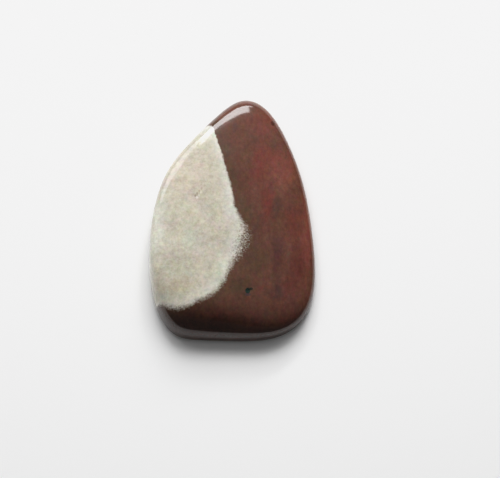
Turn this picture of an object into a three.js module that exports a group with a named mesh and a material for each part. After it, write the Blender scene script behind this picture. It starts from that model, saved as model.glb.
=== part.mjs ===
// A tumbled porcellanite: one flat, egg-shaped pebble, polished all over.
// Millimetres, +Z up. It lies on a small flat spot in the plane Z = 0. The origin is in that plane,
// under the middle of the stone's bounding box, and +Y points to the narrow end.

import * as THREE from "three";
import { mergeVertices } from "three/addons/utils/BufferGeometryUtils.js";

// Heights above the surface that the stone lies on
const thickness = 3.65;
const waistHeight = 0.45; // where the stone is widest
const flatSpotDepth = 0.03; // how much the tumbling has worn off the lowest point

// The top drops towards the narrow end and the right flank, by a factor times the square of the distance
// past a line: [factor, line]
const tipThinning = [0.0045, -3];
const rightThinning = [0.0115, -6];

// The outline at the waist, anticlockwise from the middle of the right flank, as the control points of
// a closed cubic B-spline. Each is [x, y, wear, bevel]. Wear is how far the rim's rounding reaches
// inwards, and bevel is how far the gentler slope above it reaches.
const outline = [
  [7.78, -0.5, 0.1, 0.7],
  [7.04, 4.1, 0.1, 0.7],
  [5.44, 8.3, 0.12, 0.7],
  [3.56, 11.6, 0.3, 0.9],
  [1.0, 12.6, 0.42, 1.0],
  [-1.48, 10.42, 0.3, 1.0],
  [-3.9, 7.88, 0.12, 1.0],
  [-6.3, 5.0, 0.1, 0.95],
  [-7.47, 0.85, 0.1, 0.8],
  [-7.8, -3.5, 0.12, 0.8],
  [-7.3, -7.6, 0.5, 1.3],
  [-5.65, -10.6, 1.4, 1.7],
  [-3.2, -10.93, 1.5, 1.7],
  [0.2, -11.0, 1.2, 1.5],
  [3.95, -11.05, 0.4, 1.05],
  [7.05, -9.4, 0.2, 0.8],
  [8.22, -5.7, 0.1, 0.7],
];

// The bevel's height as a share of its reach, and the power that makes it bulge
const bevelSlope = 0.58;
const bevelFullness = 0.8;

// How flat the two faces are: a face drops by this share of its height from its middle to its rim
const topCrown = 0.06;
const bottomCrown = 0.25;
const undersideWear = 1.1; // how far the underside's rounding reaches inwards

// Gentle swells left by the tumbling: [height, wavelength, bearing in degrees, phase in radians]
const swells = [
  [0.02, 7.3, 25, 0.4],
  [0.016, 5.1, 118, 2.1],
  [0.01, 3.4, 70, 4.0],
];

const cellsPerQuarterTurn = 24;

// A point of the outline with its wear and bevel, at a bearing given as a share of a full turn.
function outlineAt(turn) {
  const place = (turn - Math.floor(turn)) * outline.length;
  const first = Math.floor(place);
  const t = place - first;
  const weights = [
    (1 - t) ** 3 / 6,
    (3 * t ** 3 - 6 * t ** 2 + 4) / 6,
    (-3 * t ** 3 + 3 * t ** 2 + 3 * t + 1) / 6,
    t ** 3 / 6,
  ];
  const sum = [0, 0, 0, 0];
  weights.forEach((weight, k) => {
    const point = outline[(first + k - 1 + outline.length) % outline.length];
    point.forEach((value, axis) => (sum[axis] += weight * value));
  });
  return sum;
}

function swellAt(x, y) {
  return swells.reduce((sum, [height, wavelength, bearing, phase]) => {
    const along =
      x * Math.cos(THREE.MathUtils.degToRad(bearing)) + y * Math.sin(THREE.MathUtils.degToRad(bearing));
    return sum + height * Math.sin((2 * Math.PI * along) / wavelength + phase);
  }, 0);
}

function thinningAt(distance, [factor, line]) {
  return factor * Math.max(distance - line, 0) ** 2;
}

// Carries a point of the unit sphere to the stone. Its distance from the vertical axis says how far it
// lies from the middle to the rim, and superellipses then give its height above or below the waist:
// one for the rim's rounding, and on top a gentler one for the bevel.
function stonePoint(point) {
  const reach = Math.min(Math.hypot(point.x, point.y), 1);
  const [rimX, rimY, wear, bevelReach] = outlineAt(Math.atan2(point.y, point.x) / (2 * Math.PI));
  const rimDistance = Math.hypot(rimX, rimY);
  const x = rimX * reach;
  const y = rimY * reach;
  let height;
  if (point.z > 0) {
    const bevelHeight = bevelSlope * bevelReach;
    const bevel = bevelHeight * (1 - reach ** (rimDistance / bevelReach)) ** bevelFullness;
    const thinning = thinningAt(y, tipThinning) + thinningAt(x, rightThinning);
    const fullHeight = thickness - waistHeight - bevelHeight - thinning;
    const rounding = Math.sqrt(1 - reach ** (rimDistance / wear));
    height = bevel + (fullHeight * (1 - topCrown * reach ** 2) + swellAt(x, y)) * rounding;
  } else {
    const fullHeight = waistHeight + flatSpotDepth;
    const rounding = Math.sqrt(1 - reach ** (rimDistance / undersideWear));
    height = -(fullHeight * (1 - bottomCrown * reach ** 2) + swellAt(x, y)) * rounding;
  }
  return new THREE.Vector3(x, y, Math.max(waistHeight + height, 0));
}

// A cube's grid, spread evenly over a sphere and then carried to the stone, so that no face has a pole.
function stoneGeometry() {
  const grid = new THREE.BoxGeometry(2, 2, 2, cellsPerQuarterTurn, cellsPerQuarterTurn, cellsPerQuarterTurn);
  grid.deleteAttribute("normal");
  grid.deleteAttribute("uv");
  const geometry = mergeVertices(grid, 1e-4);
  const positions = geometry.getAttribute("position");
  const point = new THREE.Vector3();
  for (let i = 0; i < positions.count; i++) {
    point.fromBufferAttribute(positions, i);
    point.set(...point.toArray().map((value) => Math.tan((value * Math.PI) / 4))).normalize();
    positions.setXYZ(i, ...stonePoint(point).toArray());
  }
  geometry.computeBoundingBox();
  const middle = geometry.boundingBox.getCenter(new THREE.Vector3());
  geometry.translate(-middle.x, -middle.y, 0);
  geometry.computeVertexNormals();
  return geometry;
}

// Polished stone: most of it is chocolate brown, with a cream patch that is only colour
const polishedStone = new THREE.MeshStandardMaterial({ color: "#6a453c", roughness: 0.12, metalness: 0 });

const stone = new THREE.Mesh(stoneGeometry(), polishedStone);
stone.name = "stone";

const porcellanite = new THREE.Group();
porcellanite.name = "porcellanite";
porcellanite.add(stone);

export default porcellanite;
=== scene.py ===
# A tumbled porcellanite on a pale matt floor, lit by softboxes. Metres, +Z up, narrow end to +Y.
import math

import bpy
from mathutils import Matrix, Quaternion, Vector


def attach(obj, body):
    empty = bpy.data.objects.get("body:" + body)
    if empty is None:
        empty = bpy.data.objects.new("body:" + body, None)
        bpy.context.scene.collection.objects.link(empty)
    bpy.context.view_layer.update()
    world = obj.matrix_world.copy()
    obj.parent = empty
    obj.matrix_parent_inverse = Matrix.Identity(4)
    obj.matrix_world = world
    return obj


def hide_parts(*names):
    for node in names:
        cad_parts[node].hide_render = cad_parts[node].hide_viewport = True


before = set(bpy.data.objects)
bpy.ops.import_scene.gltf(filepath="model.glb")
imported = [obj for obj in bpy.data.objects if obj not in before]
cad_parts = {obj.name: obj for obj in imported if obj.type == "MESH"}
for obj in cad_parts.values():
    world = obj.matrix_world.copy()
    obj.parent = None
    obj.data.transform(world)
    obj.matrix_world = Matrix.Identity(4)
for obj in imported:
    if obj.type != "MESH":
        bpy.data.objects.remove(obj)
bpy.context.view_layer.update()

print("frame loaded")

mm = 0.001


# A colour written as sRGB hex, as the linear values that shaders take
def linear(code):
    shares = [int(code[i:i + 2], 16) / 255 for i in (1, 3, 5)]
    return (*[s / 12.92 if s <= 0.04045 else ((s + 0.055) / 1.055) ** 2.4 for s in shares], 1)


# Adds a node. A setting goes to the input socket of that name or number, or else to the node itself, and
# another node's output is linked to the socket.
def addNode(tree, kind, settings=None):
    node = tree.nodes.new(kind)
    for name, value in (settings or {}).items():
        if isinstance(value, bpy.types.NodeSocket):
            tree.links.new(value, node.inputs[name])
        elif isinstance(name, int) or name in node.inputs:
            node.inputs[name].default_value = value
        else:
            setattr(node, name, value)
    return node


def newMaterial(name):
    material = bpy.data.materials.new(name)
    material.use_nodes = True
    material.node_tree.nodes.clear()
    return material, material.node_tree


# The stone's form, in millimetres. The outline's points are [x, y, wear, bevel] of a closed cubic B-spline.
# Wear is how far the rim's rounding reaches inwards, and bevel how far the gentler slope above it does.
stoneForm = {
    "thickness": 3.65,
    "waistHeight": 0.45,  # where the stone is widest
    "flatSpotDepth": 0.03,  # worn off the lowest point
    "tipThinning": 0.0045,  # times the square of the distance past thinsFromY
    "thinsFromY": -3.0,
    "rightThinning": 0.0115,  # times the square of the distance past thinsFromX
    "thinsFromX": -6.0,
    "outline": [
        (7.78, -0.5, 0.1, 0.7), (7.04, 4.1, 0.1, 0.7), (5.44, 8.3, 0.12, 0.7), (3.56, 11.6, 0.3, 0.9),
        (1.0, 12.6, 0.42, 1.0), (-1.48, 10.42, 0.3, 1.0), (-3.9, 7.88, 0.12, 1.0), (-6.3, 5.0, 0.1, 0.95),
        (-7.47, 0.85, 0.1, 0.8), (-7.8, -3.5, 0.12, 0.8), (-7.3, -7.6, 0.5, 1.3), (-5.65, -10.6, 1.4, 1.7),
        (-3.2, -10.93, 1.5, 1.7), (0.2, -11.0, 1.2, 1.5), (3.95, -11.05, 0.4, 1.05), (7.05, -9.4, 0.2, 0.8),
        (8.22, -5.7, 0.1, 0.7),
    ],
    "bevelSlope": 0.58,  # the bevel's height as a share of its reach
    "bevelFullness": 0.8,  # the power that makes it bulge
    "topCrown": 0.06,  # a face drops by this share of its height from its middle to its rim
    "bottomCrown": 0.25,
    "undersideWear": 1.1,  # how far the underside's rounding reaches inwards
    "swells": [  # gentle ones left by the tumbling: height, wavelength, bearing in degrees, phase in radians
        (0.02, 7.3, 25, 0.4), (0.016, 5.1, 118, 2.1), (0.01, 3.4, 70, 4.0),
    ],
    "firstCuts": 14,  # a cube's faces are cut twice, into 120 by 120 cells each
    "secondCuts": 7,
    "flaws": [  # small dents that the tumbling left: x, y, width and depth
        (1.53, -7.1, 0.5, 0.06),
        (-3.36, 1.72, 0.34, 0.035),
        (-3.1, 2.1, 0.3, 0.025),
        (-2.8, 2.5, 0.26, 0.02),
    ],
}


def outlineAt(turn):
    points = stoneForm["outline"]
    place = (turn % 1) * len(points)
    first = math.floor(place)
    t = place - first
    weights = ((1 - t) ** 3 / 6, (3 * t ** 3 - 6 * t ** 2 + 4) / 6,
               (-3 * t ** 3 + 3 * t ** 2 + 3 * t + 1) / 6, t ** 3 / 6)
    near = [points[(first + k - 1) % len(points)] for k in range(4)]
    return [sum(w * point[axis] for w, point in zip(weights, near)) for axis in range(4)]


def swellAt(x, y):
    total = 0
    for height, wavelength, bearing, phase in stoneForm["swells"]:
        along = x * math.cos(math.radians(bearing)) + y * math.sin(math.radians(bearing))
        total += height * math.sin(2 * math.pi * along / wavelength + phase)
    return total


# Carries a point of the unit ball to the stone. Superellipses give its height above or below the waist: one
# for the rim's rounding, and on top a gentler one for the bevel.
def stonePoint(point):
    form = stoneForm
    reach = min(math.hypot(point.x, point.y), 1)
    rimX, rimY, wear, bevelReach = outlineAt(math.atan2(point.y, point.x) / (2 * math.pi))
    rimDistance = math.hypot(rimX, rimY)
    x, y = rimX * reach, rimY * reach
    if point.z > 0:
        bevelHeight = form["bevelSlope"] * bevelReach
        fullHeight = (form["thickness"] - form["waistHeight"] - bevelHeight
                      - form["tipThinning"] * max(y - form["thinsFromY"], 0) ** 2
                      - form["rightThinning"] * max(x - form["thinsFromX"], 0) ** 2)
        bevel = bevelHeight * (1 - reach ** (rimDistance / bevelReach)) ** form["bevelFullness"]
        rounding = math.sqrt(1 - reach ** (rimDistance / wear))
        height = bevel + (fullHeight * (1 - form["topCrown"] * reach ** 2) + swellAt(x, y)) * rounding
    else:
        fullHeight = form["waistHeight"] + form["flatSpotDepth"]
        rounding = math.sqrt(1 - reach ** (rimDistance / form["undersideWear"]))
        height = -(fullHeight * (1 - form["bottomCrown"] * reach ** 2) + swellAt(x, y)) * rounding
    return Vector((x, y, max(form["waistHeight"] + height, 0)))


def selectNothing():
    for thing in bpy.context.selected_objects:
        thing.select_set(False)


def buildStone():
    selectNothing()
    bpy.ops.mesh.primitive_cube_add(size=2)
    piece = bpy.context.object
    piece.name = piece.data.name = "polished_stone"
    bpy.ops.object.mode_set(mode="EDIT")
    bpy.ops.mesh.subdivide(number_cuts=stoneForm["firstCuts"])
    bpy.ops.mesh.subdivide(number_cuts=stoneForm["secondCuts"])
    bpy.ops.transform.tosphere(value=1)
    bpy.ops.object.mode_set(mode="OBJECT")
    places = [stonePoint(vertex.co.normalized()) for vertex in piece.data.vertices]
    middle = [(min(p[k] for p in places) + max(p[k] for p in places)) / 2 for k in (0, 1)]
    for vertex, place in zip(piece.data.vertices, places):
        vertex.co = (place - Vector((*middle, 0))) * mm
    bpy.ops.object.shade_smooth()
    return piece


# Each dent is one point pressed in, with its surroundings following
def pressFlaws(piece):
    for x, y, width, depth in stoneForm["flaws"]:
        top = [v for v in piece.data.vertices if v.co.z > stoneForm["waistHeight"] * mm]
        nearest = min(top, key=lambda v: (v.co.x - x * mm) ** 2 + (v.co.y - y * mm) ** 2).index
        selectNothing()
        piece.select_set(True)
        bpy.context.view_layer.objects.active = piece
        bpy.ops.object.mode_set(mode="EDIT")
        bpy.ops.mesh.select_all(action="DESELECT")
        bpy.ops.object.mode_set(mode="OBJECT")
        piece.data.vertices[nearest].select = True
        bpy.ops.object.mode_set(mode="EDIT")
        bpy.ops.transform.translate(value=(0, 0, -depth * mm), use_proportional_edit=True,
                                    proportional_edit_falloff="SMOOTH", proportional_size=width * mm / 2)
        bpy.ops.object.mode_set(mode="OBJECT")


# The cream's places and sizes, in millimetres. It is solid colour, so it runs down through the stone and
# narrows with depth. Each point of its edge is [x, y, z, how gradually it turns to brown there].
cream = {
    "colour": "#b6af9e",
    "middle": (-4.0, -1.5),
    "edge": [
        (-6.9, -8.3, 1.6, 0.3), (-6.3, -8.35, 2.38, 0.35), (-5.6, -8.6, 2.55, 0.4), (-4.15, -8.4, 2.86, 0.42),
        (-2.8, -7.75, 3.0, 0.4), (-1.65, -7.1, 3.05, 0.4), (-0.85, -6.15, 3.1, 0.4), (-0.3, -5.05, 3.1, 0.42),
        (0.15, -4.1, 3.1, 0.55), (0.6, -3.3, 3.1, 0.75), (0.9, -2.6, 3.1, 0.85), (1.1, -1.8, 3.1, 0.8),
        (1.05, -1.1, 3.1, 0.6), (0.7, -0.2, 3.1, 0.35), (0.27, 0.75, 3.1, 0.2), (0.05, 1.8, 3.05, 0.16),
        (-0.13, 2.7, 3.0, 0.18), (-0.4, 3.8, 2.95, 0.16), (-0.73, 5.0, 2.88, 0.16), (-1.16, 6.5, 2.74, 0.14),
        (-1.55, 7.55, 2.58, 0.1), (-1.75, 8.2, 2.44, 0.1), (-1.9, 8.6, 2.26, 0.1), (-2.35, 8.7, 2.0, 0.1),
        (-2.75, 8.65, 1.6, 0.1),
    ],
    "far": 14,  # beyond the rim, so that the cream runs on to it where it has no edge
    "narrowing": 0.4,
    "top": 3.0,
    "teeth": (0.27, 0.75),  # size and height of the teeth of its edge
    "looseGrains": (0.075, 4.7),  # size, and how far they stray from a gradual edge
    "margin": ("#c9c8bc", 0.4, 2.6, 0.75, 0, 1.2, 13),  # see edged
    "grain": [(0.8, 0.6, 0.3, 1.0, 5), (0.22, 1.0, 0.32, 1.0, 7)],  # see grained
    "clouds": [  # x, y, half width, half length, colour, share; the last is partly painted light
        (-4.2, 3.8, 2.2, 2.4, "#bfb09c", 0.5),
        (-6.6, 0.2, 0.9, 1.2, "#b9bcab", 0.5),
        (-3.6, -2.2, 1.3, 1.6, "#b4b5a6", 0.4),
        (-5.0, -4.9, 1.8, 1.5, "#a9a793", 0.5),
        (-4.7, -7.1, 1.9, 1.1, "#a39984", 0.6),
        # Partly the cream's own paler left rim and partly painted light, where the rim turns away from the
        # lamps
        (-7.4, -2.5, 0.9, 4.8, "#d0cebe", 0.75),
    ],
    "nickShading": [  # painted shade on its shaded side and then painted highlight on its bright side, as x, y, half width, half length, colour, share
        (-3.42, 1.8, 0.12, 0.14, "#877b6c", 0.55),
        (-3.26, 2.02, 0.1, 0.14, "#8c8071", 0.5),
        (-3.06, 2.26, 0.1, 0.14, "#948877", 0.6),
        (-2.84, 2.52, 0.1, 0.14, "#9a8e7c", 0.55),
        (-2.6, 2.78, 0.1, 0.14, "#a29684", 0.45),
        (-3.4, 2.45, 0.2, 0.08, "#a4998a", 0.4),
        (-3.28, 1.62, 0.12, 0.14, "#e8e4d6", 0.5),
        (-3.1, 1.86, 0.1, 0.14, "#e4dfd0", 0.42),
        (-2.9, 2.12, 0.09, 0.14, "#dcd7c7", 0.4),
    ],
}

brown = {
    "colour": "#593a30",
    "besideCream": ("#503b2e", -1.9, -0.2, 0, 0.75, 0.8, 19),  # see edged
    "wideEndShade": ("#2c1a14", -6.6, -10.8, 0.75),  # painted shade on the wide end's bevel: colour, where along Y it starts and ends, share
    "thinEdgeGlow": ("#7f4729", 1.5, 0.6, 1, 7, 0.75),  # painted glow of the light through the thin edges: colour, heights and x + y where it fades in, share
    "grain": [(0.8, 0.4, 0.45, 1.8, 23), (0.2, 1.0, 0.75, 1.3, 29)],  # see grained
    "clouds": [  # x, y, half width, half length, colour, share; one is painted light and two are painted shade, as marked below
        (2.7, 9.0, 1.5, 1.5, "#63372f", 0.7),
        (3.1, 5.3, 1.3, 2.6, "#673830", 0.8),
        (4.8, 4.4, 1.2, 2.3, "#6f4038", 0.8),
        (3.4, 1.3, 0.7, 1.7, "#62342d", 0.9),
        (6.0, -0.8, 0.9, 2.3, "#5b322a", 0.8),
        (6.2, -4.3, 0.8, 2.0, "#552d28", 0.8),
        # Painted light: a lighter brown along the right flank, for the light it catches from the right
        (7.1, -1.0, 0.6, 4.5, "#6f4037", 0.8),
        (5.5, -6.6, 0.8, 1.4, "#512e28", 0.7),
        (1.9, -4.2, 1.6, 1.9, "#4b382b", 0.8),
        (0.8, -6.6, 1.6, 1.3, "#4a382b", 0.8),
        (1.7, 7.6, 0.6, 0.35, "#533b30", 0.7),
        (3.8, 7.1, 0.7, 0.5, "#553d32", 0.6),
        (4.35, 0.8, 0.6, 1.1, "#4a342b", 0.6),
        (5.95, 2.6, 0.5, 0.6, "#53382c", 0.6),
        (4.3, -3.8, 0.6, 2.9, "#422a28", 0.55),
        (4.2, -7.0, 0.9, 0.8, "#3a282a", 0.5),
        (0.2, 8.35, 0.4, 0.35, "#4a3634", 0.6),
        (2.25, -1.9, 0.35, 0.7, "#48352e", 0.6),
        # These two are painted shade along the wide end's dark bevel
        (-5.0, -9.7, 2.4, 1.0, "#21140f", 0.75),
        (-1.6, -10.2, 2.8, 0.8, "#2a1812", 0.6),
    ],
    "specks": [  # x, y, half width, half length, colour, share
        (1.48, -7.14, 0.24, 0.28, "#1b2823", 1.0),
        (1.8, -6.95, 0.18, 0.12, "#20251f", 0.9),
        (1.5, -7.5, 0.3, 0.14, "#33303a", 0.5),
        (3.86, 9.15, 0.2, 0.28, "#331c16", 0.65),
        (-1.0, 6.03, 0.07, 0.09, "#241a16", 0.9),
        (-0.86, 5.4, 0.06, 0.08, "#2a1d18", 0.8),
    ],
}

# What the clouds share, in millimetres. Grains of this size and stretch make their outlines ragged.
clouding = {
    "size": 0.7,
    "stretch": 1.6,
    "stray": (0.8, 1.2),  # at most, across and along the stone
    "halfDepth": 1000,  # they run right through the stone
    "edgeSize": 0.5,  # of the grains in the tints along the cream's edge
}


# A place as its bearing round the middle of the cream, as a share of a full turn, and its distance
def roundTheCream(x, y):
    middleX, middleY = cream["middle"]
    return math.atan2(y - middleY, x - middleX) / (2 * math.pi) + 0.5, math.hypot(x - middleX, y - middleY)


polish = {
    "roughness": 0.1,
    "ior": 1.54,
    "rippleSize": 0.6,  # mm
    "rippleDepth": 0.02,  # mm
    "rippleStrength": 0.12,
}


# Porcellanite: silica-cemented clay stone, hard and very fine-grained, tumbled to a glassy polish. The eye
# sees a sharp, wet-looking reflection on a matt ground, chocolate brown and freckled cream.
def porcellanite():
    material, tree = newMaterial("tumble_polished_porcellanite")
    place = addNode(tree, "ShaderNodeTexCoord").outputs["Object"]
    # From here on, patterns are in millimetres
    inMm = addNode(tree, "ShaderNodeVectorMath", {"operation": "SCALE", 0: place, "Scale": 1 / mm}).outputs[0]
    x, y, z = addNode(tree, "ShaderNodeSeparateXYZ", {0: inMm}).outputs

    # Grains of a size in millimetres, half the noise's period, stretched along the stone by a factor. The
    # shift keeps one pattern of grains apart from another.
    def grains(size, stretch=1.0, detail=2.0, roughness=0.5, shift=0.0):
        scaled = addNode(tree, "ShaderNodeMapping", {
            "Vector": inMm, "Scale": (1, 1 / stretch, 1), "Location": (shift, shift, shift)})
        noise = addNode(tree, "ShaderNodeTexNoise", {
            "Vector": scaled.outputs[0], "Scale": 0.5 / size, "Detail": detail, "Roughness": roughness})
        return noise.outputs

    # Grain in a colour: it gets lighter and darker, and its hue wanders a little. Each layer is its size, the
    # spread of its lightness and of its hue, its stretch and its shift.
    def grained(colour, layers):
        for size, light, hue, stretch, shift in layers:
            shade = addNode(tree, "ShaderNodeMapRange", {
                "Value": grains(size, stretch, detail=3, roughness=0.9, shift=shift)["Fac"],
                "To Min": 1 - light / 2, "To Max": 1 + light / 2})
            hues = addNode(tree, "ShaderNodeVectorMath", {
                "operation": "MULTIPLY_ADD",
                0: grains(size, stretch, detail=3, roughness=0.9, shift=shift + 40)["Color"],
                1: (hue,) * 3, 2: (1 - hue / 2,) * 3})
            tinted = addNode(tree, "ShaderNodeVectorMath", {
                "operation": "MULTIPLY", 0: colour, 1: hues.outputs[0]})
            colour = addNode(tree, "ShaderNodeVectorMath", {
                "operation": "SCALE", 0: tinted.outputs[0], "Scale": shade.outputs[0]}).outputs[0]
        return colour

    # Places pulled about a little, which give a cloud a ragged outline
    strayX, strayY = clouding["stray"]
    wander = addNode(tree, "ShaderNodeVectorMath", {
        "operation": "MULTIPLY_ADD",
        0: grains(clouding["size"], clouding["stretch"], detail=3, roughness=0.6, shift=60)["Color"],
        1: (2 * strayX, 2 * strayY, 0), 2: (-strayX, -strayY, 0)})
    strayed = addNode(tree, "ShaderNodeVectorMath", {
        "operation": "ADD", 0: inMm, 1: wander.outputs[0]}).outputs[0]

    # Clouds of another colour. The core is the share of a cloud's half size that has its full colour, and the
    # larger it is, the sooner the cloud ends. A colour Mix takes its two colours at sockets 6 and 7.
    def clouded(colour, clouds, where, core=0.3):
        for cloudX, cloudY, halfWidth, halfLength, tint, share in clouds:
            flat = addNode(tree, "ShaderNodeMapping", {
                "vector_type": "TEXTURE", "Vector": where,
                "Location": (cloudX, cloudY, 0), "Scale": (halfWidth, halfLength, clouding["halfDepth"])})
            fromCentre = addNode(tree, "ShaderNodeVectorMath", {"operation": "LENGTH", 0: flat.outputs[0]})
            fade = addNode(tree, "ShaderNodeMapRange", {
                "interpolation_type": "SMOOTHSTEP", "Value": fromCentre.outputs["Value"],
                "From Min": core, "From Max": 1.5 - core / 2, "To Min": share, "To Max": 0})
            colour = addNode(tree, "ShaderNodeMix", {
                "data_type": "RGBA", 0: fade.outputs[0], 6: colour, 7: linear(tint)}).outputs[2]
        return colour

    # A point's bearing round the cream's middle, as a share of a full turn, and its distance
    middleX, middleY = cream["middle"]
    offMiddle = addNode(tree, "ShaderNodeVectorMath", {
        "operation": "MULTIPLY_ADD", 0: inMm, 1: (1, 1, 0), 2: (-middleX, -middleY, 0)}).outputs[0]
    offX, offY, _ = addNode(tree, "ShaderNodeSeparateXYZ", {0: offMiddle}).outputs
    angle = addNode(tree, "ShaderNodeMath", {"operation": "ARCTAN2", 0: offY, 1: offX})
    bearing = addNode(tree, "ShaderNodeMath", {
        "operation": "MULTIPLY_ADD", 0: angle.outputs[0], 1: 1 / (2 * math.pi), 2: 0.5}).outputs[0]
    distance = addNode(tree, "ShaderNodeVectorMath", {"operation": "LENGTH", 0: offMiddle}).outputs["Value"]

    # A value that changes with the bearing, as a curve through stops
    def byBearing(stops, most):
        curve = addNode(tree, "ShaderNodeFloatCurve", {"Value": bearing})
        points = curve.mapping.curves[0].points
        points[0].location = (0, stops[0][1] / most)
        points[1].location = (1, stops[-1][1] / most)
        for turn, value in stops:
            points.new(turn, value / most)
        curve.mapping.update()
        return addNode(tree, "ShaderNodeMath", {
            "operation": "MULTIPLY", 0: curve.outputs[0], 1: most}).outputs[0]

    reach, softness = [], []
    for edgeX, edgeY, edgeZ, soft in cream["edge"]:
        turn, edgeDistance = roundTheCream(edgeX, edgeY)
        reach.append((turn, edgeDistance + cream["narrowing"] * (cream["top"] - edgeZ)))
        softness.append((turn, soft))
    beside = 0.03  # this share of a turn past the edge's two ends, the cream reaches the rim
    reach = [(reach[0][0] - beside, cream["far"]), *reach, (reach[-1][0] + beside, cream["far"])]
    softEdge = byBearing(softness, 1)

    # How far a point lies inside the cream
    depth = addNode(tree, "ShaderNodeMath", {"operation": "SUBTRACT", 0: cream["top"], 1: z})
    outwards = addNode(tree, "ShaderNodeMath", {
        "operation": "MULTIPLY_ADD", 0: depth.outputs[0], 1: cream["narrowing"], 2: distance})
    inside = addNode(tree, "ShaderNodeMath", {
        "operation": "SUBTRACT", 0: byBearing(reach, cream["far"]), 1: outwards.outputs[0]}).outputs[0]

    # The edge is finely toothed, and where it is gradual it breaks up into loose grains
    teethSize, teethHeight = cream["teeth"]
    teeth = addNode(tree, "ShaderNodeMath", {
        "operation": "MULTIPLY_ADD", 0: grains(teethSize, detail=4, roughness=0.8, shift=3)["Fac"],
        1: teethHeight, 2: -teethHeight / 2})
    toothed = addNode(tree, "ShaderNodeMath", {"operation": "ADD", 0: inside, 1: teeth.outputs[0]})
    gradual = addNode(tree, "ShaderNodeMath", {"operation": "DIVIDE", 0: toothed.outputs[0], 1: softEdge})
    looseSize, straying = cream["looseGrains"]
    loose = addNode(tree, "ShaderNodeMath", {
        "operation": "MULTIPLY_ADD", 0: grains(looseSize, detail=2, roughness=0.7, shift=9)["Fac"],
        1: straying, 2: -straying / 2})
    brokenUp = addNode(tree, "ShaderNodeMath", {
        "operation": "MULTIPLY_ADD", 0: loose.outputs[0], 1: softEdge, 2: gradual.outputs[0]})
    isCream = addNode(tree, "ShaderNodeMapRange", {
        "interpolation_type": "SMOOTHSTEP", "Value": brokenUp.outputs[0], "From Min": -1, "From Max": 1})

    # Tints a colour along the cream's edge. The tint's share goes from startShare to endShare between two
    # distances inside the edge, and raggedness is how unevenly it does so.
    def edged(colour, tint, start, end, startShare, endShare, raggedness, shift):
        ragged = addNode(tree, "ShaderNodeMath", {
            "operation": "MULTIPLY_ADD", 0: grains(clouding["edgeSize"], detail=3, shift=shift)["Fac"],
            1: raggedness, 2: inside})
        share = addNode(tree, "ShaderNodeMapRange", {
            "interpolation_type": "SMOOTHSTEP", "Value": ragged.outputs[0],
            "From Min": start, "From Max": end, "To Min": startShare, "To Max": endShare})
        return addNode(tree, "ShaderNodeMix", {
            "data_type": "RGBA", 0: share.outputs[0], 6: colour, 7: linear(tint)}).outputs[2]

    light = clouded(linear(cream["colour"]), cream["clouds"], strayed)
    light = edged(light, *cream["margin"])
    # The dent's painted shade and painted highlight
    light = clouded(light, cream["nickShading"], inMm, core=0.6)
    light = grained(light, cream["grain"])

    dark = clouded(linear(brown["colour"]), brown["clouds"], strayed)
    dark = edged(dark, *brown["besideCream"])
    # Painted shade: the brown darkens towards the wide end's edge, where its bevel turns from the light
    deepColour, deepStart, deepEnd, deepShare = brown["wideEndShade"]
    deep = addNode(tree, "ShaderNodeMapRange", {
        "interpolation_type": "SMOOTHSTEP", "Value": y,
        "From Min": deepStart, "From Max": deepEnd, "To Min": 0, "To Max": deepShare})
    dark = addNode(tree, "ShaderNodeMix", {
        "data_type": "RGBA", 0: deep.outputs[0], 6: dark, 7: linear(deepColour)}).outputs[2]
    dark = clouded(dark, brown["specks"], inMm, core=0.8)
    dark = grained(dark, brown["grain"])
    # Painted glow: the thin edges at the right and the narrow end are warmed in colour, for the little light
    # they let through
    warmColour, warmTop, warmBottom, warmStart, warmEnd, warmShare = brown["thinEdgeGlow"]
    low = addNode(tree, "ShaderNodeMapRange", {
        "interpolation_type": "SMOOTHSTEP", "Value": z, "From Min": warmTop, "From Max": warmBottom})
    towardsTip = addNode(tree, "ShaderNodeMath", {"operation": "ADD", 0: x, 1: y})
    thin = addNode(tree, "ShaderNodeMapRange", {
        "interpolation_type": "SMOOTHSTEP", "Value": towardsTip.outputs[0],
        "From Min": warmStart, "From Max": warmEnd, "To Min": 0, "To Max": warmShare})
    warmed = addNode(tree, "ShaderNodeMath", {"operation": "MULTIPLY", 0: low.outputs[0], 1: thin.outputs[0]})
    dark = addNode(tree, "ShaderNodeMix", {
        "data_type": "RGBA", 0: warmed.outputs[0], 6: dark, 7: linear(warmColour)}).outputs[2]

    colour = addNode(tree, "ShaderNodeMix", {"data_type": "RGBA", 0: isCream.outputs[0], 6: dark, 7: light})

    # The polish is glassy, with a faint ripple from the tumbling
    ripple = addNode(tree, "ShaderNodeBump", {
        "Strength": polish["rippleStrength"], "Distance": polish["rippleDepth"] * mm,
        "Height": grains(polish["rippleSize"], detail=2, shift=31)["Fac"]})
    shader = addNode(tree, "ShaderNodeBsdfPrincipled", {
        "Base Color": colour.outputs[2], "Normal": ripple.outputs[0],
        "Roughness": polish["roughness"], "IOR": polish["ior"]})
    addNode(tree, "ShaderNodeOutputMaterial", {"Surface": shader.outputs[0]})
    return material


cardLooks = {
    "colour": "#efefef",
    "roughness": 0.9,
    "toothSize": 1.2,  # mm
    "toothDepth": 0.05,  # mm
    "toothStrength": 0.1,
    "specular": 0.2,
}


# Card: uncoated, off-white and matt, with a faint tooth, so the eye sees soft shadows on it and no gloss
def card():
    material, tree = newMaterial("matt_white_card")
    place = addNode(tree, "ShaderNodeTexCoord").outputs["Object"]
    tooth = addNode(tree, "ShaderNodeTexNoise", {
        "Vector": place, "Scale": 1 / (cardLooks["toothSize"] * mm), "Detail": 4.0})
    raised = addNode(tree, "ShaderNodeBump", {
        "Strength": cardLooks["toothStrength"], "Distance": cardLooks["toothDepth"] * mm,
        "Height": tooth.outputs["Fac"]})
    shader = addNode(tree, "ShaderNodeBsdfPrincipled", {
        "Base Color": linear(cardLooks["colour"]), "Roughness": cardLooks["roughness"],
        "Specular IOR Level": cardLooks["specular"], "Normal": raised.outputs[0]})
    addNode(tree, "ShaderNodeOutputMaterial", {"Surface": shader.outputs[0]})
    return material


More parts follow.
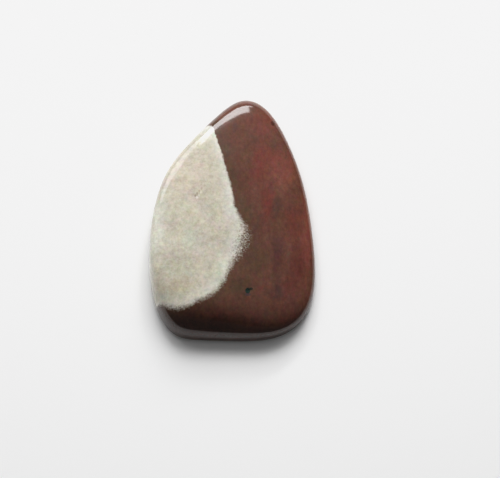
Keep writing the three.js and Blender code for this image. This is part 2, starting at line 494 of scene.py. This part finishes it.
# Where things stand round the stone: bearings are anticlockwise from +X, in degrees
studio = {
    "floorSize": 2.0,
    "softboxes": {  # bearing, lowest and highest elevation, distance and width in metres, tilt, watts
        "softbox": (90, 27, 51, 0.18, 0.145, 18, 0.6),
        "side_softbox": (128, 30, 50, 0.3, 0.17, 0, 0.46),
        "strip": (90, 25, 29.5, 0.18, 0.145, 18, 0.085),
        "fill": (79, 38, 58, 0.15, 0.13, 0, 0.26),
    },
    "roomStrength": 2.4,
    "brightest": (0.05, 0.64, 0.77),  # where the room is brightest: high up behind the softbox
    "shades": {  # of the room, from its darkest side to its brightest
        0.0: "#4c4c4c",
        0.2: "#363636",
        0.6: "#4c4c4c",
        0.87: "#6c6c6c",
        0.94: "#787878",
        0.985: "#949494",
        1.0: "#dadada",
    },
}

view = {
    "elevation": 80,
    "distance": 260,  # mm
    "target": (1.69, -1.73, 0),  # mm
    "lens": 197.7,
    "nearest": 10,  # mm: what is closer to the camera is cut off
}


def direction(bearing, elevation):
    flat = math.cos(math.radians(elevation))
    return Vector((math.cos(math.radians(bearing)) * flat, math.sin(math.radians(bearing)) * flat,
                   math.sin(math.radians(elevation))))


def buildStudio():
    selectNothing()
    bpy.ops.mesh.primitive_plane_add(size=studio["floorSize"])
    floor = bpy.context.object
    floor.name = "floor"
    floor.data.materials.append(card())

    # Each softbox stands upright and faces the stone, and its tilt lifts its left side
    for name, (bearing, lowest, highest, distance, width, tilt, watts) in studio["softboxes"].items():
        bottom, top = (distance * math.tan(math.radians(angle)) for angle in (lowest, highest))
        where = direction(bearing, 0) * distance
        bpy.ops.object.light_add(type="AREA", location=(where.x, where.y, (bottom + top) / 2))
        light = bpy.context.object
        light.name = name
        turned = Quaternion((0, 0, 1), math.radians(tilt))
        light.rotation_euler = (where.to_track_quat("Z", "Y") @ turned).to_euler()
        light.data.shape = "RECTANGLE"
        light.data.size, light.data.size_y = width, top - bottom
        light.data.energy = watts
        light.visible_glossy = name != "fill"  # the fill only brightens, and leaves no mirror image

    # The room is dim, and glows softly behind the softbox
    world = bpy.data.worlds.new("room")
    bpy.context.scene.world = world
    world.use_nodes = True
    tree = world.node_tree
    tree.nodes.clear()
    around = addNode(tree, "ShaderNodeTexCoord").outputs["Generated"]
    towards = addNode(tree, "ShaderNodeVectorMath", {
        "operation": "DOT_PRODUCT", 0: around, 1: studio["brightest"]})
    air = addNode(tree, "ShaderNodeValToRGB", {0: towards.outputs["Value"]})
    shades = air.color_ramp.elements
    shades.remove(shades[1])
    for index, (place, shade) in enumerate(studio["shades"].items()):
        element = shades[0] if index == 0 else shades.new(place)
        element.position, element.color = place, linear(shade)
    background = addNode(tree, "ShaderNodeBackground", {
        "Color": air.outputs[0], "Strength": studio["roomStrength"]})
    addNode(tree, "ShaderNodeOutputWorld", {"Surface": background.outputs[0]})


def buildCamera():
    back = direction(-90, view["elevation"])
    where = Vector(view["target"]) * mm + back * view["distance"] * mm
    bpy.ops.object.camera_add(location=where, rotation=back.to_track_quat("Z", "Y").to_euler())
    camera = bpy.context.object
    camera.data.lens = view["lens"]
    camera.data.clip_start = view["nearest"] * mm
    bpy.context.scene.camera = camera


# As a camera does, bright tones are held back before they burn out: light in, light shown
picture = {
    "brightest": 2.0,
    "tones": [
        (0.02, 0.013), (0.05, 0.041), (0.1, 0.095), (0.25, 0.25), (0.5, 0.5), (0.7, 0.67),
        (0.85, 0.775), (0.95, 0.855), (1.05, 0.893), (1.2, 0.91), (1.4, 0.918), (2.0, 0.94),
    ],
}


def exposePicture():
    settings = bpy.context.scene.view_settings
    settings.view_transform = "Standard"
    settings.use_curve_mapping = True
    curves = settings.curve_mapping
    brightest = picture["brightest"]
    curves.white_level = (brightest,) * 3
    *tones, (lastLight, lastShown) = picture["tones"]
    points = curves.curves[3].points  # the curve that all three colours share
    points[-1].location = (lastLight / brightest, lastShown)
    for light, shown in tones:
        points.new(light / brightest, shown)
    curves.update()


buildCamera()
stone = buildStone()
pressFlaws(stone)
stone.data.materials.append(porcellanite())
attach(stone, "root")
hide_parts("stone")
print("stone built")

buildStudio()
exposePicture()
print("studio built")
